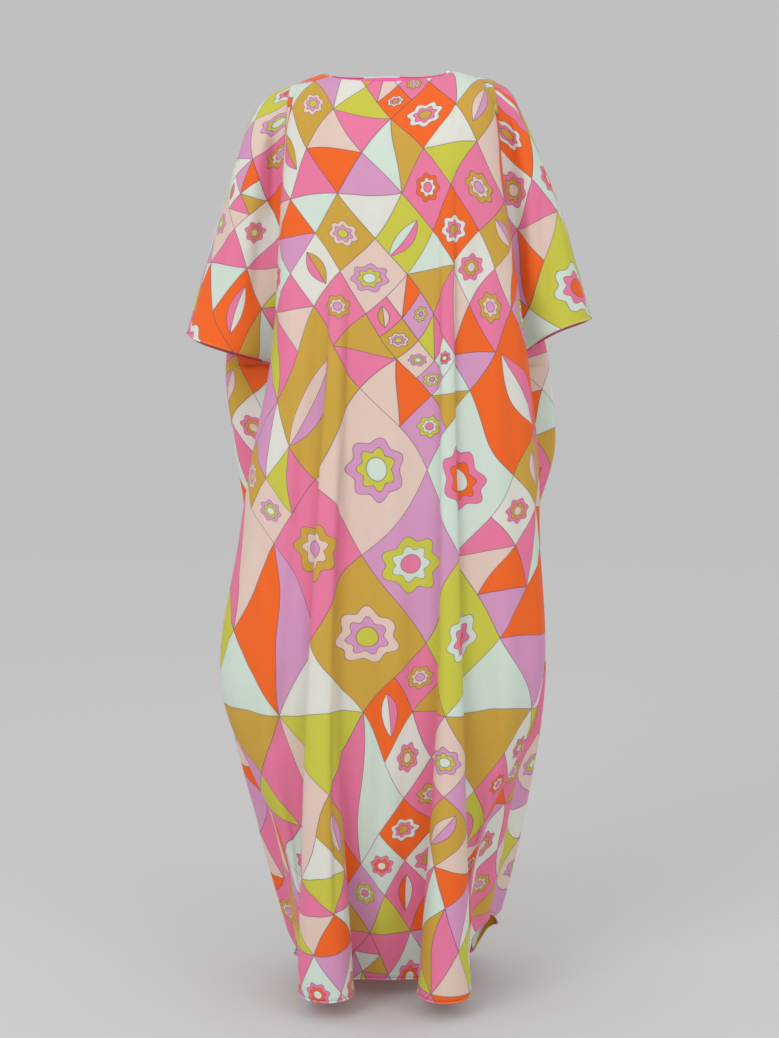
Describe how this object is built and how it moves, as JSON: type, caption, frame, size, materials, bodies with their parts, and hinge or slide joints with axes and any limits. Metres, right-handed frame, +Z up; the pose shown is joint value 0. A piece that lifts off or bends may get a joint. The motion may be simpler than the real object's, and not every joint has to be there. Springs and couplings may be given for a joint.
{
  "type": "kaftan",
  "caption": "Floor-length hollow worn kaftan of thin printed cloth, with wide open elbow-length sleeves, a shallow bound neckline and deep hanging folds.",
  "frame": {"origin": "middle of the neck opening, level with the neck end of the shoulder seams, where a wearer's shoulders carry the garment", "axes": "+Z up, -Y out of the wearer's front, +X to the wearer's left"},
  "size_m": [0.647, 0.354, 1.4564],
  "materials": {
    "printed_voile": "thin soft printed voile, matte with a faint sheen",
    "bias_binding": "matte folded strip of the same cloth"
  },
  "bodies": {
    "root": {"body_front": "printed_voile", "body_back": "printed_voile", "sleeve_right_front": "printed_voile", "sleeve_right_back": "printed_voile", "sleeve_left_front": "printed_voile", "sleeve_left_back": "printed_voile", "neck_binding": "bias_binding"}
  },
  "joints": []
}
